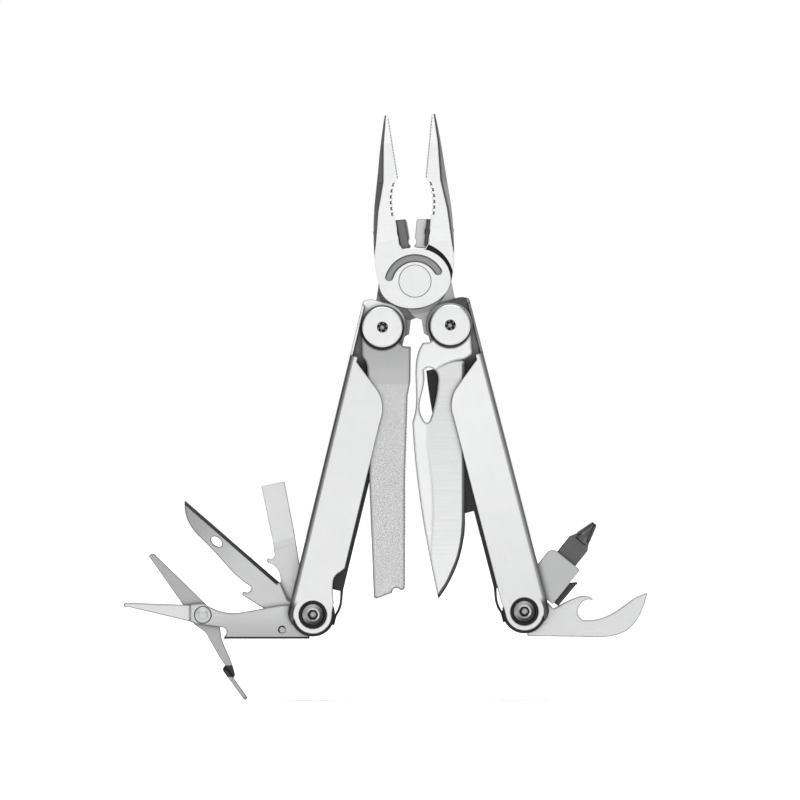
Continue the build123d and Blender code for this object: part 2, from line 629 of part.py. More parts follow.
def can_opener():
    """Can and bottle opener, drawn pointing along +X with its back edge down."""
    face = outline((0, 0), (1.0, -7.5), (21.0, -7.8), [(26.3, -7.5), (31.1, -5.7), (35.2, -0.3), (37.1, 5.5)],
                   [(32.8, 3.7), (28.2, 0.4), (24.5, -1.6), (20.5, -2.6)], (17.8, -2.6),
                   ((16.2, -0.8), (16.6, 1.5)), [(17.9, 3.0), (19.4, 3.5), (20.8, 3.0)],
                   [(20.2, 4.0), (18.5, 4.6), (16.0, 4.3), (12.0, 2.6)], (8.8, 0.8), (6.4, 3.4), (3.0, 5.1))
    front, back = OPENER_DEPTH
    body = slab(face + disc(TANG_RADIUS), front, back)
    body -= upright([(24, front), (38, front + 0.8), (40, front - 1), (24, front - 1)], -10, 10)
    return body - pivot_bore(OPENER_DEPTH)


# ---------------------------------------------------------------- assembly at rest
def flipped(solid):
    """The same piece for the other handle."""
    return mirror(solid, about=Plane.YZ)


def build():
    """Every node of the tool, by name, at its rest place."""
    left_head = turned((-HEAD_PIVOT[0], HEAD_PIVOT[1]), -RIGHT_JAW_OPEN)
    right_head = turned(HEAD_PIVOT, LEFT_JAW_OPEN)
    left_drop = turned((0, -HANDLE_SPAN), -LEFT_SPLAY)
    right_drop = turned((0, -HANDLE_SPAN), RIGHT_SPLAY)
    left_end = (left_head[0] + left_drop[0], left_head[1] + left_drop[1])
    right_end = (right_head[0] + right_drop[0], right_head[1] + right_drop[1])

    def left(solid):
        return placed(solid, left_head, -LEFT_SPLAY)

    def right(solid):
        return placed(flipped(solid), right_head, RIGHT_SPLAY)

    scissors = {"scissors_body": scissors_body(), "scissors_rivet": scissors_rivet(),
                "scissors_spring": scissors_spring(), "scissors_spring_pin": scissors_spring_pin(),
                "scissors_blade": Pos(RIVET_AT[0], 0, RIVET_AT[1]) * scissors_blade()}
    nodes = {
        "left_jaw": left_jaw(),
        "right_jaw": right_jaw(),
        "main_rivet": main_rivet(),
        "left_wire_cutter": placed(cutter(0.45, 1.35), (0, 0), LEFT_JAW_OPEN),
        "right_wire_cutter": placed(Rot(0, 0, 180) * cutter(1.25, 1.75), (0, 0), -RIGHT_JAW_OPEN),
        "left_cutter_screw": placed(cutter_screw(), (0, 0), LEFT_JAW_OPEN),
        "right_cutter_screw": placed(Rot(0, 0, 180) * cutter_screw(), (0, 0), -RIGHT_JAW_OPEN),
        "left_handle_frame": left(handle_frame("left")),
        "right_handle_frame": right(handle_frame("right")),
        "left_lock_spring": left(lock_spring()),
        "right_lock_spring": right(lock_spring()),
        "left_head_bolt": placed(head_bolt(), left_head, -LEFT_SPLAY),
        "right_head_bolt": placed(head_bolt(), right_head, RIGHT_SPLAY),
        "left_head_nut": placed(head_nut(), left_head, 0),
        "right_head_nut": placed(head_nut(), right_head, 0),
        "left_head_spacers": [placed(s, left_head, 0) for s in head_spacers(FILE_DEPTH)],
        "right_head_spacers": [placed(s, right_head, 0) for s in head_spacers(KNIFE_DEPTH)],
        "left_end_bolt": placed(end_bolt(), left_end, 0),
        "right_end_bolt": placed(end_bolt(), right_end, 0),
        "left_end_nut": placed(end_nut(), left_end, 0),
        "right_end_nut": placed(end_nut(), right_end, 0),
        "left_end_spacers": [placed(s, left_end, 0) for s in end_spacers()],
        "right_end_spacers": [placed(s, right_end, 0) for s in end_spacers()],
        "file": placed(file(), left_head, 0),
        "knife": placed(knife(), right_head, 0),
        "awl": placed(awl(), left_end, AWL_ANGLE),
        "screwdriver": placed(screwdriver(), left_end, SCREWDRIVER_ANGLE),
        "bit_driver": placed(bit_driver(), right_end, BIT_DRIVER_ANGLE),
        "bit_retainer": placed(bit_retainer(), right_end, BIT_DRIVER_ANGLE),
        "driver_bit": placed(driver_bit(), right_end, BIT_DRIVER_ANGLE),
        "can_opener": placed(can_opener(), right_end, OPENER_ANGLE),
    }
    for name, solid in scissors.items():
        nodes[name] = placed(solid, left_end, SCISSORS_ANGLE)
    return nodes


os.makedirs("parts", exist_ok=True)
for node, shape in build().items():
    if isinstance(shape, list):
        shape = Compound(children=shape)
    export_step(shape, f"parts/{node}.step")
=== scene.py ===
"""Looks, light and camera for the folding multi tool.

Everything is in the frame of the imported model: metres, front towards -Y, +Z to the jaw tips.
Lengths below that end in _MM are millimetres.
"""
import json
import math

import bpy
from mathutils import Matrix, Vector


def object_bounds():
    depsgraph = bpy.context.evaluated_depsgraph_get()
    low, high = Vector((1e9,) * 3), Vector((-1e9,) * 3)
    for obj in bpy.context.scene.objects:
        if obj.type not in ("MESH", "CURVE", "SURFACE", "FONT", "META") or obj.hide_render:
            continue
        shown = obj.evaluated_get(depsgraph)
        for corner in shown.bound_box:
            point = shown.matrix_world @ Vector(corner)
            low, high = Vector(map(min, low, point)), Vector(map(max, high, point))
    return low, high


MM = 0.001

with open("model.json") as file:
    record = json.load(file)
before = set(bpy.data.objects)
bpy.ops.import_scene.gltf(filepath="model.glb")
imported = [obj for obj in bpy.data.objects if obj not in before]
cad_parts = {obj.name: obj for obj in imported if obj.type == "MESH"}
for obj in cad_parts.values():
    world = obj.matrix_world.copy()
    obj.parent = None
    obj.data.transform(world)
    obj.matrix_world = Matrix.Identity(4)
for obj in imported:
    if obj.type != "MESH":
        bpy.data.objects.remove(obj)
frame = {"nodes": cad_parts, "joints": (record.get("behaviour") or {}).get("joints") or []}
cad_low, cad_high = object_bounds()
JOINTS = {j["name"]: j for j in frame["joints"]}

LEFT_LEAN = -13.6           # lean of each handle from upright, degrees anticlockwise
RIGHT_LEAN = 14.5
LEFT_JAW_TURN = 9.0
RIGHT_JAW_TURN = -5.5


# ---------------------------------------------------------------- node helpers
class Shader:
    """A material's node tree with short calls for the nodes used here."""

    def __init__(self, name):
        self.material = bpy.data.materials.new(name)
        self.material.use_nodes = True
        self.tree = self.material.node_tree
        self.tree.nodes.clear()
        self.out = self.tree.nodes.new("ShaderNodeOutputMaterial")

    def node(self, kind, **settings):
        made = self.tree.nodes.new("ShaderNode" + kind)
        for key, value in settings.items():
            setattr(made, key, value)
        return made

    def join(self, source, target):
        self.tree.links.new(source, target)

    def feed(self, target, value):
        """Links a socket, or sets a plain value."""
        if isinstance(value, bpy.types.NodeSocket):
            self.join(value, target)
        else:
            target.default_value = value

    def math(self, operation, a, b=0.0, clamp=False):
        made = self.node("Math", operation=operation, use_clamp=clamp)
        for socket, value in zip(made.inputs, (a, b)):
            self.feed(socket, value)
        return made.outputs[0]

    def place(self):
        return self.node("TexCoord").outputs["Object"]

    def axes(self, turn, origin=(0.0, 0.0)):
        """Local x, y, z in millimetres, with z along a direction turned anticlockwise from +Z."""
        shift = self.node("VectorMath", operation="SUBTRACT")
        self.join(self.place(), shift.inputs[0])
        shift.inputs[1].default_value = (origin[0] * MM, 0, origin[1] * MM)
        rotate = self.node("VectorRotate", rotation_type="Y_AXIS")
        self.join(shift.outputs[0], rotate.inputs["Vector"])
        rotate.inputs["Angle"].default_value = math.radians(turn)
        scale = self.node("VectorMath", operation="SCALE")
        self.join(rotate.outputs[0], scale.inputs[0])
        scale.inputs["Scale"].default_value = 1 / MM
        split = self.node("SeparateXYZ")
        self.join(scale.outputs[0], split.inputs[0])
        return scale.outputs[0], split.outputs

    def stretched(self, vector, size):
        scaled = self.node("VectorMath", operation="MULTIPLY")
        self.join(vector, scaled.inputs[0])
        scaled.inputs[1].default_value = size
        return scaled.outputs[0]

    def noise(self, vector, scale=1.0, detail=2.0, rough=0.5):
        made = self.node("TexNoise")
        self.join(vector, made.inputs["Vector"])
        made.inputs["Scale"].default_value = scale
        made.inputs["Detail"].default_value = detail
        made.inputs["Roughness"].default_value = rough
        return made.outputs["Fac"]

    def ramp(self, value, low, high, out_low=0.0, out_high=1.0, kind="SMOOTHSTEP"):
        """Maps one span onto another and holds the end values beyond it."""
        made = self.node("MapRange", interpolation_type=kind)
        self.feed(made.inputs["Value"], value)
        for key, number in (("From Min", low), ("From Max", high), ("To Min", out_low), ("To Max", out_high)):
            made.inputs[key].default_value = number
        return made.outputs[0]

    def mix(self, share, a, b):
        """Mixes two greys, numbers or sockets."""
        made = self.node("Mix", data_type="FLOAT")
        for key, value in ((0, share), (2, a), (3, b)):
            self.feed(made.inputs[key], value)
        return made.outputs[0]

    def tint(self, grey, cool=0.0):
        """A nearly neutral colour from a grey value."""
        made = self.node("CombineColor")
        for channel, share in ((0, 1 - cool), (1, 1.0), (2, 1 + cool)):
            self.join(self.math("MULTIPLY", grey, share), made.inputs[channel])
        return made.outputs[0]


BRUSH_SIZE = (9.0, 9.0, 0.12)       # brush lines: fine across, long along
HOLLOW_REACH_MM = 2.5               # how far away a wall still casts painted shade on a surface
HOLLOW_DARK = 0.25                  # painted shade: share of the grey left deep in a corner
RIM_DARK = 0.14                     # painted shade: share of the grey left on a rounded edge, for its dark reflection
LEVEL = 0.84                        # scales every grey to the brightness of the room


def steel(name, grey=0.7, rough=0.3, turn=0.0, origin=(0, 0), brush=0.05, across=False, edge_mm=0.55,
          shade=None, bump=0.02, mottle=0.03, cool=0.004, grain=None, hollow=1.0, rim=1.0):
    """Brushed or satin steel.

    grey is the reflectance, brush the strength of its lines, shade an optional function that takes the
    shader, the local axes and the grey and returns a changed grey, holding painted light and shade as well
    as the part's own tones, and grain an optional function that returns extra height for the bump. Painted
    shade darkens corners between walls by the share given as hollow, and rounded edges by the share given as
    rim.
    """
    s = Shader(name)
    vector, local = s.axes(turn, origin)
    size = (BRUSH_SIZE[2], BRUSH_SIZE[1], BRUSH_SIZE[0]) if across else BRUSH_SIZE
    lines = s.noise(s.stretched(vector, size), 1.0, 3.0, 0.6)
    cloud = s.noise(vector, 0.16, 2.0, 0.5)
    value = s.math("ADD", grey, s.math("MULTIPLY", s.math("SUBTRACT", lines, 0.5), 2 * brush * grey))
    value = s.math("ADD", value, s.math("MULTIPLY", s.math("SUBTRACT", cloud, 0.5), 2 * mottle * grey))
    if shade:
        value = shade(s, local, value)
    # painted shade: the grey darkens in corners and between walls
    open_sky = s.node("AmbientOcclusion", samples=8)
    open_sky.inputs["Distance"].default_value = HOLLOW_REACH_MM * MM
    dark = s.ramp(open_sky.outputs["AO"], 0.25, 0.95, 1 - hollow * (1 - HOLLOW_DARK), 1.0)
    value = s.math("MULTIPLY", value, dark)
    # painted shade: rounded edges darken, standing in for their dark reflections
    rounded = s.node("Bevel", samples=6)
    rounded.inputs["Radius"].default_value = edge_mm * MM
    flat = s.node("NewGeometry").outputs["True Normal"]
    agree = s.node("VectorMath", operation="DOT_PRODUCT")
    s.join(rounded.outputs[0], agree.inputs[0])
    s.join(flat, agree.inputs[1])
    edge_shade = s.ramp(agree.outputs["Value"], 0.90, 0.999, 1 - rim * (1 - RIM_DARK), 1.0)
    value = s.math("MULTIPLY", s.math("MULTIPLY", value, edge_shade), LEVEL)
    skin = s.node("BsdfPrincipled")
    s.join(s.tint(value, cool), skin.inputs["Base Color"])
    skin.inputs["Metallic"].default_value = 1.0
    wear = s.math("MULTIPLY", s.math("SUBTRACT", lines, 0.5), 0.16)
    s.join(s.math("ADD", wear, rough, clamp=True), skin.inputs["Roughness"])
    height = lines
    if grain:
        height = s.math("ADD", s.math("MULTIPLY", lines, 0.3), grain(s, local))
    dents = s.node("Bump")
    dents.inputs["Strength"].default_value = 1.0
    dents.inputs["Distance"].default_value = bump * MM
    s.join(height, dents.inputs["Height"])
    s.join(rounded.outputs[0], dents.inputs["Normal"])
    s.join(dents.outputs[0], skin.inputs["Normal"])
    s.join(skin.outputs[0], s.out.inputs["Surface"])
    return s.material


def dress(node, material):
    """Puts one material on every slot of a CAD node."""
    mesh = frame["nodes"][node].data
    mesh.materials.clear()
    mesh.materials.append(material)


def pivot(joint):
    x, _, z = JOINTS[joint]["pos_m"]
    return (x / MM, z / MM)


LEFT_HEAD = pivot("left_handle_fold")
RIGHT_HEAD = pivot("right_handle_fold")
LEFT_END = pivot("awl_pivot")
RIGHT_END = pivot("bit_driver_pivot")


# ---------------------------------------------------------------- masks
def deep(s, local):
    """Distance from the middle plane, in millimetres, towards the front or the back."""
    return s.math("ABSOLUTE", local[1])


def away(s, local, x=0.0, z=0.0):
    """Distance in the XZ plane from a point, in millimetres."""
    dx = s.math("SUBTRACT", local[0], x)
    dz = s.math("SUBTRACT", local[2], z)
    return s.math("SQRT", s.math("ADD", s.math("MULTIPLY", dx, dx), s.math("MULTIPLY", dz, dz)))


def both(s, a, b):
    return s.math("MULTIPLY", a, b)


def band(s, value, low, high, soft=0.05):
    """1 between two bounds."""
    return both(s, s.ramp(value, low - soft, low), s.ramp(value, high, high + soft, 1.0, 0.0))


def sideways(s, local, mirrored):
    """Local x, measured towards the spine of a handle or the middle of a jaw on either side."""
    return s.math("MULTIPLY", local[0], -1.0 if mirrored else 1.0)


def screw_shadow(s, local, value, drop=0.55, reach=6.75, strength=0.9, lean=-0.12):
    """Darkens a crescent under a wide screw head, thicker below it."""
    ring = s.ramp(away(s, local, lean, -drop), reach - 0.55, reach + 0.15, strength, 0.0)
    return s.math("MULTIPLY", value, s.math("SUBTRACT", 1.0, ring))


# ---------------------------------------------------------------- pliers
TEETH = dict(coarse_low=20.0, coarse_pitch=1.75, fine_low=31.2, fine_pitch=0.92, top=49.8)
TAPER_START = 13.0          # the jaw faces taper between these heights
TAPER_MIDDLE = 31.0
TAPER_END = 42.0
GROOVE_RADIUS = 8.1         # middle line of the arc groove over the pivot


def tooth_valley_shade(s, x, z):
    """Painted shade in the valleys of the coarse and the fine teeth along a jaw's inner edge."""
    cube = s.math("POWER", s.math("DIVIDE", s.math("SUBTRACT", z, TEETH["coarse_low"]), 11.0), 3.0)
    edge = s.math("ADD", s.math("MULTIPLY", cube, 2.5), -2.9)
    valley_shades = []
    for low, high, pitch, place, reach in (
            (TEETH["coarse_low"], 30.8, TEETH["coarse_pitch"], edge, 1.1),
            (TEETH["fine_low"], TEETH["top"], TEETH["fine_pitch"], 0.0, 0.6)):
        phase = s.math("FRACT", s.math("DIVIDE", s.math("SUBTRACT", z, low), pitch))
        valley = band(s, phase, 0.30, 0.72, 0.12)
        near = s.ramp(s.math("SUBTRACT", place, x), reach - 0.15, reach, 1.0, 0.0)
        valley_shades.append(both(s, both(s, valley, near), band(s, z, low, high)))
    return s.math("ADD", valley_shades[0], valley_shades[1], clamp=True)


def jaw_shade(mirrored):
    """Painted light and shade: brighter faces on the taper, painted shade on the bevels, teeth, seat and
    groove; the tangs behind the laps get grey painted shade.
    """
    def shade(s, local, value):
        x, z = sideways(s, local, mirrored), local[2]
        lower = s.ramp(z, TAPER_START, TAPER_MIDDLE, 4.1, 2.5, kind="LINEAR")
        upper = s.ramp(z, TAPER_MIDDLE, TAPER_END, 0.0, -1.1, kind="LINEAR")
        face = s.math("ADD", lower, upper)
        below = s.math("SUBTRACT", face, deep(s, local))
        outer = s.ramp(x, -4.4, -3.9, 1.0, 0.0)
        outer = s.math("MAXIMUM", outer, s.ramp(z, 33.0, 34.0))
        # painted shade on the bevels, darker near the front face and above the taper's middle
        slope = both(s, both(s, s.ramp(below, 0.03, 0.1), s.ramp(z, 9.2, 10.0)), outer)
        slope_grey = s.ramp(below, 0.1, 1.0, 0.16, 1.0) if mirrored else s.ramp(below, 0.1, 0.9, 0.45, 0.62)
        slope_grey = s.math("MULTIPLY", slope_grey, s.ramp(z, 29.5, 31.5, 1.0, 0.72))
        # painted highlight on the tapered faces
        taper_highlight = s.math("MULTIPLY", s.ramp(z, TAPER_START - 0.3, TAPER_START + 0.3, 1.0, 1.18),
                      s.ramp(z, TAPER_END - 0.3, TAPER_END + 0.3, 1.0, 0.96))
        grey = s.mix(slope, s.math("MULTIPLY", value, taper_highlight), slope_grey)
        grey = s.mix(tooth_valley_shade(s, x, z), grey, 0.10)
        # painted shade on the recessed tangs
        tang = both(s, s.ramp(deep(s, local), 3.74, 3.95, 1.0, 0.0), s.ramp(z, -1.0, 1.0, 1.0, 0.0))
        grey = s.mix(tang, grey, 0.25 if mirrored else 0.43)
        far = away(s, local)
        # painted shadow in the seat between the jaw and the other lap
        seat = both(s, both(s, s.ramp(deep(s, local), 0.3, 1.5, 1.0, 0.0), s.ramp(far, 12.3, 12.7, 1.0, 0.0)),
                    s.ramp(z, -0.5, 1.0))
        grey = s.mix(seat, grey, 0.05)
        # painted shade in the arc groove, darkest at its borders
        groove = both(s, both(s, s.ramp(local[1], -4.06, -3.95), s.ramp(far, 9.8, 10.0, 1.0, 0.0)),
                      s.ramp(local[1], -3.5, -3.4, 1.0, 0.0))
        groove = both(s, groove, s.ramp(far, 5.4, 5.6))
        from_middle = s.math("ABSOLUTE", s.math("SUBTRACT", away(s, local, -0.19, -1.19), GROOVE_RADIUS))
        grey = s.mix(groove, grey, s.ramp(from_middle, 0.45, 1.1, 0.32, 0.11))
        ring = band(s, far, 4.72, 4.92, 0.06)
        return s.mix(both(s, ring, s.ramp(deep(s, local), 3.9, 4.0)), grey, 0.22)
    return shade


def cutter_shade(mirrored):
    """The half that shears past the other cutter catches painted light, and painted shade darkens the seat
    half.
    """
    def shade(s, local, value):
        if not mirrored:
            x = local[0]
            # painted shade on the seat half
            return s.mix(s.ramp(x, -2.6, -2.3, 1.0, 0.0), value, 0.07)
        # painted shade on the front half
        front = s.ramp(local[1], -0.5, -0.3, 1.0, 0.0)
        return s.mix(front, value, 0.10)
    return shade


# ---------------------------------------------------------------- handles and screws
def handle_shade(mirrored):
    """Painted light and shade: bright outer plates and lip; painted shade makes the fold, walls and spine
    darker, and the ear is in between.
    """
    def shade(s, local, value):
        x, z = sideways(s, local, mirrored), local[2]
        plate = s.ramp(deep(s, local), 8.12, 8.3)
        # painted light: the right plate lighter towards the top
        tone = s.ramp(z, -95.0, -20.0, 0.90, 1.05) if mirrored else 1.0
        plate_grey = s.math("MULTIPLY", value, tone)
        edge_of_plate = s.ramp(x, -6.25, -6.0, 1.0, 0.0)
        fold = both(s, edge_of_plate, s.ramp(z, -10.7, -10.4, 1.0, 0.0))
        # painted shade on the fold
        plate_grey = s.mix(fold, plate_grey, 0.42 if mirrored else 0.34)
        # painted shade on the walls, darker lower down
        wall = s.ramp(z, -13.0, -7.0, 0.035, 0.22)
        # painted light and painted shade across the ears' corners
        if mirrored:
            corner = s.ramp(s.math("ADD", s.math("MULTIPLY", x, -0.6), z), 4.0, 9.5)
            ear = s.mix(corner, 0.40, 0.09)
        else:
            corner = s.ramp(s.math("ADD", s.math("MULTIPLY", x, -0.5), z), -1.0, 4.5)
            ear = s.mix(corner, 0.34, 0.98)
        wall = s.mix(s.ramp(z, -7.0, -1.0), wall, ear)
        # painted light on the left lip, painted shade on the right one
        lip = both(s, s.ramp(x, -6.8, -6.65, 1.0, 0.0), s.ramp(z, -10.7, -10.4))
        wall = s.mix(lip, wall, 0.32 if mirrored else 0.98)
        wall = s.mix(fold, wall, 0.36)
        # painted shade deep in the walls below the ear
        wall = s.mix(s.ramp(z, -30.0, -25.0, 1.0, 0.0), wall, s.mix(fold, 0.045, 0.30))
        wall = screw_shadow(s, local, wall)
        # painted shade on the plate past its rounded end
        end = away(s, local, 0.0, -88.8)
        past_end = both(s, s.ramp(end, 5.72, 5.85), s.ramp(z, -88.0, -85.5, 1.0, 0.0))
        plate_grey = s.mix(past_end, plate_grey, 0.10)
        return s.mix(plate, wall, plate_grey)
    return shade


def wide_head_shade(s, local, value):
    """Flat head with painted shade in and round its socket and a small painted highlight at its floor."""
    far = away(s, local)
    # painted shade in the socket
    sunk = s.ramp(deep(s, local), 9.2, 9.35, 1.0, 0.0)
    hole = both(s, sunk, s.ramp(far, 1.7, 1.8, 1.0, 0.0))
    # painted highlight on the socket floor
    spot = s.ramp(away(s, local, -0.1, -0.15), 0.35, 0.8, 0.55, 0.06)
    return s.mix(hole, s.mix(band(s, far, 1.35, 1.6, 0.12), value, 0.12), spot)


def dome_shade(s, local, value):
    """Domed head: painted highlight round the socket, painted shade towards the lower right and in the outer
    ring, and painted shade in the socket with a painted highlight at its floor.
    """
    far = away(s, local)
    # painted light and shade across the dome, lighter at the upper left
    tilt = s.math("SUBTRACT", s.math("MULTIPLY", local[2], 0.8), s.math("MULTIPLY", local[0], 0.6))
    outer = s.ramp(tilt, -2.2, 3.0, 0.05, 0.50)
    glint = s.ramp(s.math("ADD", local[2], s.math("MULTIPLY", local[0], 0.7)), -2.0, 1.8, 0.30, 0.85)
    grey = s.mix(s.ramp(far, 1.7, 2.25), glint, outer)
    grey = s.mix(s.ramp(far, 3.1, 3.4), grey, 0.03)
    hole = s.ramp(far, 1.45, 1.6, 1.0, 0.0)
    spot = s.ramp(away(s, local, 0.1, 0.1), 0.5, 1.15, 0.55, 0.06)
    return s.mix(hole, grey, spot)


# ---------------------------------------------------------------- outside blades
GRIT_SCALE = 3800.0         # grains per metre of the file's abrasive
GRIT_HEIGHT = 1.5


def abrasive(s, local):
    """The share of abrasive at a point and its grains."""
    return s.ramp(local[2], -17.3, -16.9, 1.0, 0.0), s.noise(s.place(), GRIT_SCALE, 2.0, 0.7)


def file_shade(s, local, value):
    """Smooth tang above a speckled abrasive field."""
    field, speck = abrasive(s, local)
    gritty = s.ramp(speck, 0.34, 0.66, 0.34, 0.92)
    tang = s.math("MULTIPLY", value, s.ramp(local[2], -16.0, -7.0, 1.0, 0.86))
    return screw_shadow(s, local, s.mix(field, tang, gritty))


def file_grain(s, local):
    """Height of the abrasive grains."""
    field, speck = abrasive(s, local)
    return s.math("MULTIPLY", field, s.math("MULTIPLY", speck, GRIT_HEIGHT))


def curve(s, value, low, high, points):
    """Reads a smooth curve; points are (place, height), both as shares of 0 to 1."""
    made = s.node("FloatCurve")
    share = s.math("DIVIDE", s.math("SUBTRACT", value, low), high - low, clamp=True)
    s.join(share, made.inputs["Value"])
    line = made.mapping.curves[0]
    line.points[0].location = points[0]
    line.points[1].location = points[-1]
    for point in points[1:-1]:
        line.points.new(*point)
    made.mapping.update()
    return made.outputs[0]


KNIFE_MIDDLE = 7.375        # distance of the knife's middle layer from the middle plane
EDGE_CURVE = [(0, 0), (0.03, 0.04), (0.26, 0.52), (0.6, 0.93), (1, 1)]
EDGE_RISE = 8.1             # how far the cutting edge curves in over its length


def knife_shade(s, local, value):
    """Bright flats, darker cross-brushed grind, and a band of painted shade along the cutting edge."""
    z, x = local[2], local[0]
    side = deep(s, local)
    from_layer = s.math("ABSOLUTE", s.math("SUBTRACT", side, KNIFE_MIDDLE))
    ground = s.ramp(from_layer, 0.70, 0.722, 1.0, 0.0)
    streaks = s.noise(s.stretched(s.axes(0.0, (0, 0))[0], (0.05, 1.0, 5.0)), 1.0, 3.0, 0.6)
    tone = s.ramp(z, -80.0, -20.0, 1.10, 0.97)
    ground_grey = s.math("MULTIPLY", s.ramp(streaks, 0.3, 0.7, 0.75, 0.81), tone)
    grey = s.mix(ground, value, ground_grey)
    # painted shade on the edge bevel along the cutting edge
    edge = s.math("MULTIPLY", curve(s, z, -83.0, -53.0, EDGE_CURVE), EDGE_RISE)
    edge_gap = s.math("SUBTRACT", s.math("ADD", edge, -3.75), x)
    sharp = both(s, s.ramp(edge_gap, 0.85, 1.05, 1.0, 0.0), s.ramp(z, -12.0, -10.5, 1.0, 0.0))
    grey = s.mix(sharp, grey, s.ramp(z, -66.0, -50.0, 0.10, 0.24))
    return screw_shadow(s, local, grey, strength=0.93)


# ---------------------------------------------------------------- fold-out tools
def awl_shade(s, local, value):
    """Drawn with local z along the blade and its spine towards local +x."""
    # painted shade along the spine bevel
    spine = s.ramp(local[0], -0.62, -0.45)
    tail = s.ramp(local[2], 13.5, 14.3)
    tone = s.math("MULTIPLY", value, s.ramp(local[2], 22.0, 50.0, 1.0, 0.62))
    return s.mix(both(s, spine, tail), tone, 0.09)


def screwdriver_shade(s, local, value):
    """The thin ground end is lighter than the shank."""
    return s.math("MULTIPLY", value, s.ramp(local[2], 21.6, 22.4, 0.95, 1.12))


def scissors_shade(s, local, value):
    """Lighter fixed blade; painted shade darkens the body to its back edge, with a dark ring round the rivet
    and a painted shadow round the pin.
    """
    along, across = local[2], s.math("MULTIPLY", local[0], -1.0)
    # painted shade: the body darker towards its back edge
    body = s.math("MULTIPLY", value, s.ramp(across, -2.5, 7.0, 1.10, 0.84))
    grey = s.mix(s.ramp(along, 36.8, 37.0), body, 0.74)
    # painted shade on the back edge
    grey = s.mix(both(s, s.ramp(across, 6.5, 6.8), s.ramp(along, 27.6, 27.8, 1.0, 0.0)), grey, 0.045)
    grey = s.mix(band(s, away(s, local, -0.1, 33.05), 2.32, 2.62, 0.1), grey, 0.05)
    # painted shadow on the lower side of the pin's dimple
    pin = away(s, local, -4.6, 9.2)
    lower = s.ramp(s.math("SUBTRACT", along, across), 3.6, 5.4)
    grey = s.mix(both(s, band(s, pin, 0.72, 1.25, 0.12), lower), grey, 0.05)
    return grey


def lever_shade(s, local, value):
    """Moving blade and lever; painted shade marks the dark fold where the bent tab at the lever's end starts.
    """
    across = s.math("MULTIPLY", local[0], -1.0)
    # painted shade on the tab's fold
    return s.mix(band(s, across, 15.4, 18.6, 0.3), value, 0.06)


LOOKS = {
    "left_jaw": dict(grey=0.90, turn=LEFT_JAW_TURN, across=True, shade=jaw_shade(False), hollow=0.6,
                     rim=0.35, edge_mm=0.25),
    "right_jaw": dict(grey=0.90, turn=RIGHT_JAW_TURN, across=True, shade=jaw_shade(True), hollow=0.6,
                      rim=0.6, edge_mm=0.3),
    "main_rivet": dict(grey=0.88, brush=0.03, rim=0.3, edge_mm=0.2),
    # the two cutters are one insert: the left one's low grey is painted shade, the right one's high grey
    # painted light
    "left_wire_cutter": dict(grey=0.185, turn=LEFT_JAW_TURN, shade=cutter_shade(False)),
    "right_wire_cutter": dict(grey=0.66, turn=RIGHT_JAW_TURN, shade=cutter_shade(True), hollow=0.3, rim=0.5),
    "left_cutter_screw": dict(grey=0.5),
    "right_cutter_screw": dict(grey=0.5),
    "left_handle_frame": dict(grey=0.83, turn=LEFT_LEAN, origin=LEFT_HEAD, shade=handle_shade(False)),
    "right_handle_frame": dict(grey=0.86, turn=RIGHT_LEAN, origin=RIGHT_HEAD, shade=handle_shade(True)),
    "left_head_bolt": dict(grey=0.88, rim=0.7, brush=0.02, origin=LEFT_HEAD, shade=wide_head_shade),
    "right_head_bolt": dict(grey=0.88, rim=0.7, brush=0.02, origin=RIGHT_HEAD, shade=wide_head_shade),
    "left_head_nut": dict(grey=0.8, brush=0.02, origin=LEFT_HEAD, shade=wide_head_shade),
    "right_head_nut": dict(grey=0.8, brush=0.02, origin=RIGHT_HEAD, shade=wide_head_shade),
    "left_head_spacers": dict(grey=0.3),
    "right_head_spacers": dict(grey=0.3),
    "left_end_bolt": dict(grey=0.8, brush=0.02, origin=LEFT_END, shade=dome_shade),
    "right_end_bolt": dict(grey=0.8, brush=0.02, origin=RIGHT_END, shade=dome_shade),
    "left_end_nut": dict(grey=0.8, brush=0.02, origin=LEFT_END, shade=dome_shade),
    "right_end_nut": dict(grey=0.8, brush=0.02, origin=RIGHT_END, shade=dome_shade),
    "left_end_spacers": dict(grey=0.05),
    "right_end_spacers": dict(grey=0.05),
    "left_lock_spring": dict(grey=0.06, turn=LEFT_LEAN),
    "right_lock_spring": dict(grey=0.06, turn=RIGHT_LEAN),
    "file": dict(grey=0.55, origin=LEFT_HEAD, shade=file_shade, grain=file_grain, edge_mm=1.4),
    "knife": dict(grey=0.90, origin=RIGHT_HEAD, across=True, shade=knife_shade, brush=0.03, edge_mm=1.3),
    "scissors_body": dict(grey=0.58, turn=90, origin=LEFT_END, shade=scissors_shade, edge_mm=0.9),
    "scissors_blade": dict(grey=0.45, edge_mm=0.6, turn=90, origin=LEFT_END, shade=lever_shade),
    "scissors_rivet": dict(grey=0.62, rim=0.3),
    "scissors_spring": dict(grey=0.2),
    "scissors_spring_pin": dict(grey=0.5, rim=0.2),
    "awl": dict(grey=0.62, turn=48.8, origin=LEFT_END, shade=awl_shade, edge_mm=0.9),
    "screwdriver": dict(grey=0.70, turn=16.5, origin=LEFT_END, shade=screwdriver_shade, rim=0.8),
    "bit_driver": dict(grey=0.52, turn=-38.7, rim=0.6),
    "bit_retainer": dict(grey=0.08),
    "driver_bit": dict(grey=0.13, turn=-38.7, rough=0.22),
    "can_opener": dict(grey=0.73, turn=90, rim=0.85, edge_mm=0.9),
}
for node, look in LOOKS.items():
    dress(node, steel(node + "_look", **look))


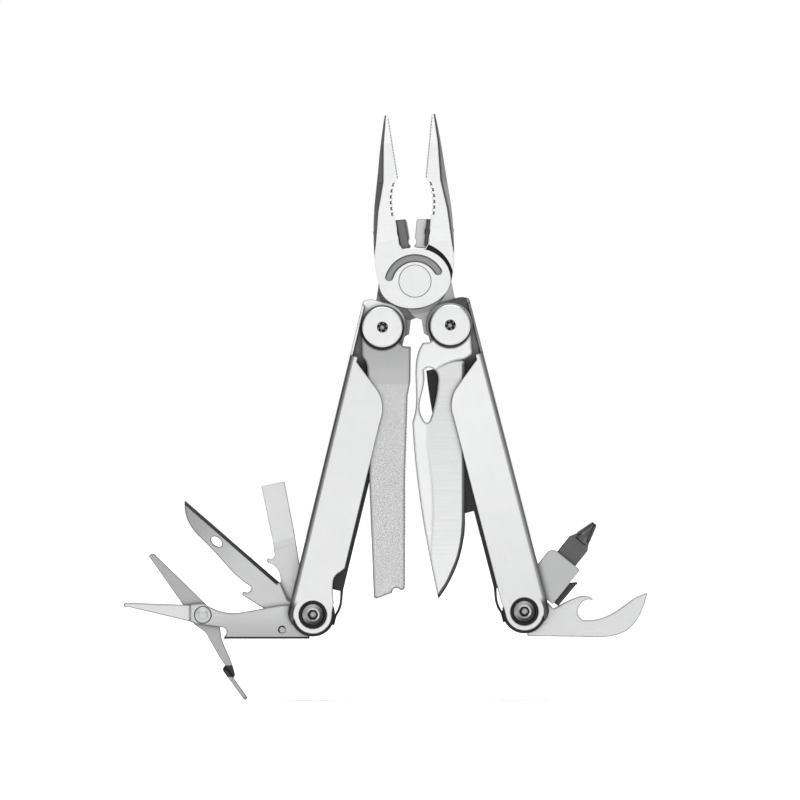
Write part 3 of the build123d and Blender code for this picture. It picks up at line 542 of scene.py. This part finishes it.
# ---------------------------------------------------------------- studio
def studio_world():
    """White for the camera; metal sees a bright front, top and back, and darker sides."""
    world = bpy.data.worlds.new("studio")
    bpy.context.scene.world = world
    world.use_nodes = True
    tree = world.node_tree
    tree.nodes.clear()
    s = Shader.__new__(Shader)
    s.tree = tree
    direction = s.node("TexCoord").outputs["Generated"]
    split = s.node("SeparateXYZ")
    s.join(direction, split.inputs[0])
    x, y, z = split.outputs
    facing = s.math("ABSOLUTE", y)
    bright = s.ramp(facing, 0.25, 0.85, 0.0, 0.9)
    right = s.ramp(x, -0.4, 0.9, 0.10, 0.30)
    bright = s.math("MAXIMUM", bright, right)
    above = s.ramp(z, 0.3, 1.0, 0.0, 0.55)
    below = s.ramp(s.math("MULTIPLY", z, -1.0), 0.3, 1.0, 0.0, 0.3)
    light = s.math("ADD", s.math("ADD", bright, above), below)
    background = s.node("Background")
    s.join(light, background.inputs["Color"])
    background.inputs["Strength"].default_value = 1.0
    white = s.node("Background")
    white.inputs["Color"].default_value = (1, 1, 1, 1)
    path = s.node("LightPath")
    pick = s.node("MixShader")
    s.join(path.outputs["Is Camera Ray"], pick.inputs[0])
    s.join(background.outputs[0], pick.inputs[1])
    s.join(white.outputs[0], pick.inputs[2])
    out = s.node("OutputWorld")
    s.join(pick.outputs[0], out.inputs["Surface"])


def sky_light(name, strength, spread):
    """Soft light from straight above that keeps the floor white."""
    data = bpy.data.lights.new(name, "SUN")
    data.energy = strength
    data.angle = math.radians(spread)
    lamp = bpy.data.objects.new(name, data)
    bpy.context.scene.collection.objects.link(lamp)


FLOOR_HALF = 6.0            # metres
FLOOR_GAP_MM = 0.3          # the tool stands this far above the floor


def floor():
    """Plain pale floor just under the tool."""
    half = FLOOR_HALF
    level = cad_low.z - FLOOR_GAP_MM * MM
    mesh = bpy.data.meshes.new("floor")
    corners = [(-half, -half, level), (half, -half, level), (half, half, level), (-half, half, level)]
    mesh.from_pydata(corners, [], [(0, 1, 2, 3)])
    plane = bpy.data.objects.new("floor", mesh)
    bpy.context.scene.collection.objects.link(plane)
    s = Shader("floor_look")
    skin = s.node("BsdfPrincipled")
    grain = s.noise(s.place(), 900.0, 2.0)
    s.join(s.tint(s.math("ADD", 0.86, s.math("MULTIPLY", grain, 0.03))), skin.inputs["Base Color"])
    skin.inputs["Roughness"].default_value = 1.0
    skin.inputs["Specular IOR Level"].default_value = 0.0
    s.join(skin.outputs[0], s.out.inputs["Surface"])
    mesh.materials.append(s.material)


VIEW_WIDTH = 0.240          # width of the picture at the tool
VIEW_CENTRE = (-0.0045, -0.0357)
CAMERA_DISTANCE = 5.0       # metres in front of the outer plates
PLATE_DEPTH = 0.009
SENSOR_WIDTH = 36.0
SUN_STRENGTH = 2.95
SUN_SPREAD = 60             # degrees


def camera():
    """Level view straight at the front through a long lens."""
    data = bpy.data.cameras.new("camera")
    data.sensor_width = SENSOR_WIDTH
    data.lens = data.sensor_width * CAMERA_DISTANCE / VIEW_WIDTH
    shown = bpy.data.objects.new("camera", data)
    bpy.context.scene.collection.objects.link(shown)
    shown.location = (VIEW_CENTRE[0], -CAMERA_DISTANCE - PLATE_DEPTH, VIEW_CENTRE[1])
    shown.rotation_euler = (math.radians(90), 0, 0)
    bpy.context.scene.camera = shown


studio_world()
floor()
sky_light("overhead", SUN_STRENGTH, SUN_SPREAD)
camera()
bpy.context.scene.view_settings.view_transform = "Standard"
